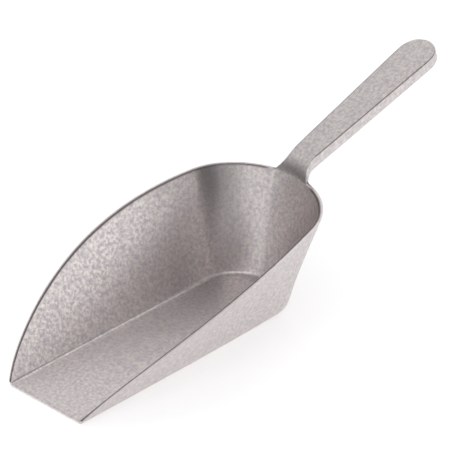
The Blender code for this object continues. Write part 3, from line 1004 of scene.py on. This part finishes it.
class SCOOP_OT_stage(bpy.types.Operator):
    """Make the pale floor, the studio's soft panels and the camera"""

    bl_idname = "scoop.stage"
    bl_label = "Stage"

    def execute(self, context):
        make_floor()
        set_panels()
        make_world()
        make_camera()
        return {"FINISHED"}


def make_floor():
    stage = bpy.context.scene.ice_scoop_stage
    bpy.ops.mesh.primitive_plane_add(size=12.0)
    floor = bpy.context.object
    floor.name = "pale_floor"
    material = bpy.data.materials.new("pale_floor")
    material.use_nodes = True
    shader = material.node_tree.nodes["Principled BSDF"]
    shader.inputs["Base Color"].default_value = (*stage.floor, 1.0)
    shader.inputs["Roughness"].default_value = 0.9
    shader.inputs["Emission Color"].default_value = (1.0, 1.0, 1.0, 1.0)
    shader.inputs["Emission Strength"].default_value = stage.floor_glow
    floor.data.materials.append(material)


# Azimuth, height, inner and outer half angles in degrees, and brightness of each soft panel.
PANELS = {
    "mouth_panel": (-88.0, 8.0, 10.0, 34.0, 0.9),
    "ceiling_panel": (-60.0, 38.0, 10.0, 36.0, 0.99),
    "side_panel": (31.0, 13.0, 12.0, 29.0, 1.65),
    "handle_panel": (122.0, 40.0, 10.0, 36.0, 0.96),
    "far_panel": (-162.0, 37.0, 12.0, 36.0, 0.52),
}


def set_panels():
    stage = bpy.context.scene.ice_scoop_stage
    for name, (azimuth, height, inner, outer, light) in PANELS.items():
        panel = getattr(stage, name)
        panel.azimuth, panel.height = math.radians(azimuth), math.radians(height)
        panel.inner, panel.outer, panel.light = math.radians(inner), math.radians(outer), light


def panel_glow(tree, direction, panel):
    """The brightness of one soft panel, by how near a direction lies to its middle."""
    towards = tree.nodes.new("ShaderNodeVectorMath")
    towards.operation = "DOT_PRODUCT"
    tree.links.new(direction, towards.inputs[0])
    low = math.cos(panel.height)
    towards.inputs[1].default_value = (
        math.sin(panel.azimuth) * low,
        -math.cos(panel.azimuth) * low,
        math.sin(panel.height),
    )
    return ramp(tree, towards.outputs["Value"], math.cos(panel.outer), math.cos(panel.inner), 0.0, panel.light)


def make_world():
    """A dim studio with a pale ceiling and soft panels round the scoop."""
    stage = bpy.context.scene.ice_scoop_stage
    world = bpy.data.worlds.new("studio")
    world.use_nodes = True
    tree = world.node_tree
    direction = tree.nodes.new("ShaderNodeTexCoord").outputs["Generated"]
    height = tree.nodes.new("ShaderNodeSeparateXYZ")
    tree.links.new(direction, height.inputs[0])
    seen = ramp(tree, height.outputs["Z"], 0.45, 0.8, stage.room_light, stage.overhead_light)
    for name in PANELS:
        seen = maths(tree, "ADD", seen, panel_glow(tree, direction, getattr(stage, name)))
    background = tree.nodes["Background"]
    tree.links.new(seen, background.inputs["Color"])
    background.inputs["Strength"].default_value = 1.0
    bpy.context.scene.world = world
    bpy.context.scene.view_settings.view_transform = "Standard"


def make_camera():
    stage = bpy.context.scene.ice_scoop_stage
    back = Vector(
        (
            math.sin(stage.azimuth) * math.cos(stage.elevation),
            -math.cos(stage.azimuth) * math.cos(stage.elevation),
            math.sin(stage.elevation),
        )
    )
    right = Vector((math.cos(stage.azimuth), math.sin(stage.azimuth), 0.0))
    right = Matrix.Rotation(stage.roll, 3, back) @ right
    up = back.cross(right)
    middle = Vector((MOUTH_X + stage.middle_along, 0.0, stage.middle_height))
    upright = Matrix((right, up, back)).transposed().to_quaternion()
    aim = right * stage.aim_right + up * stage.aim_up - back * stage.distance
    swing = (-back).rotation_difference(aim)
    data = bpy.data.cameras.new("camera")
    data.lens = stage.lens
    data.clip_end = 50.0
    camera = bpy.data.objects.new("camera", data)
    bpy.context.scene.collection.objects.link(camera)
    camera.location = middle + back * stage.distance
    camera.rotation_mode = "QUATERNION"
    camera.rotation_quaternion = swing @ upright
    bpy.context.scene.camera = camera


class SCOOP_PT_panel(bpy.types.Panel):
    """The scoop's operators and sizes"""

    bl_idname = "SCOOP_PT_panel"
    bl_label = "Ice Scoop"
    bl_space_type = "VIEW_3D"
    bl_region_type = "UI"
    bl_category = "Ice Scoop"

    def draw(self, context):
        for operator in OPERATORS:
            self.layout.operator(operator.bl_idname)
        for label, group in GROUPS.items():
            box = self.layout.box()
            for name in group.__annotations__:
                box.prop(getattr(context.scene, label), name)


GROUPS = {
    "ice_scoop_bowl": ScoopBowlSizes,
    "ice_scoop_handle": ScoopHandleSizes,
    "ice_scoop_finish": ScoopFinish,
    "ice_scoop_stage": ScoopStage,
}
OPERATORS = (SCOOP_OT_bowl, SCOOP_OT_neck, SCOOP_OT_handle, SCOOP_OT_stage)


def register():
    for item in (SoftPanel, *GROUPS.values(), *OPERATORS, SCOOP_PT_panel):
        bpy.utils.register_class(item)
    for label, group in GROUPS.items():
        setattr(bpy.types.Scene, label, PointerProperty(type=group))


def unregister():
    for label in GROUPS:
        delattr(bpy.types.Scene, label)
    for item in (SCOOP_PT_panel, *OPERATORS[::-1], *list(GROUPS.values())[::-1], SoftPanel):
        bpy.utils.unregister_class(item)


def main():
    register()
    bpy.ops.scoop.bowl()
    bpy.ops.scoop.neck()
    bpy.ops.scoop.handle()
    bpy.ops.scoop.stage()


if __name__ == "__main__":
    main()
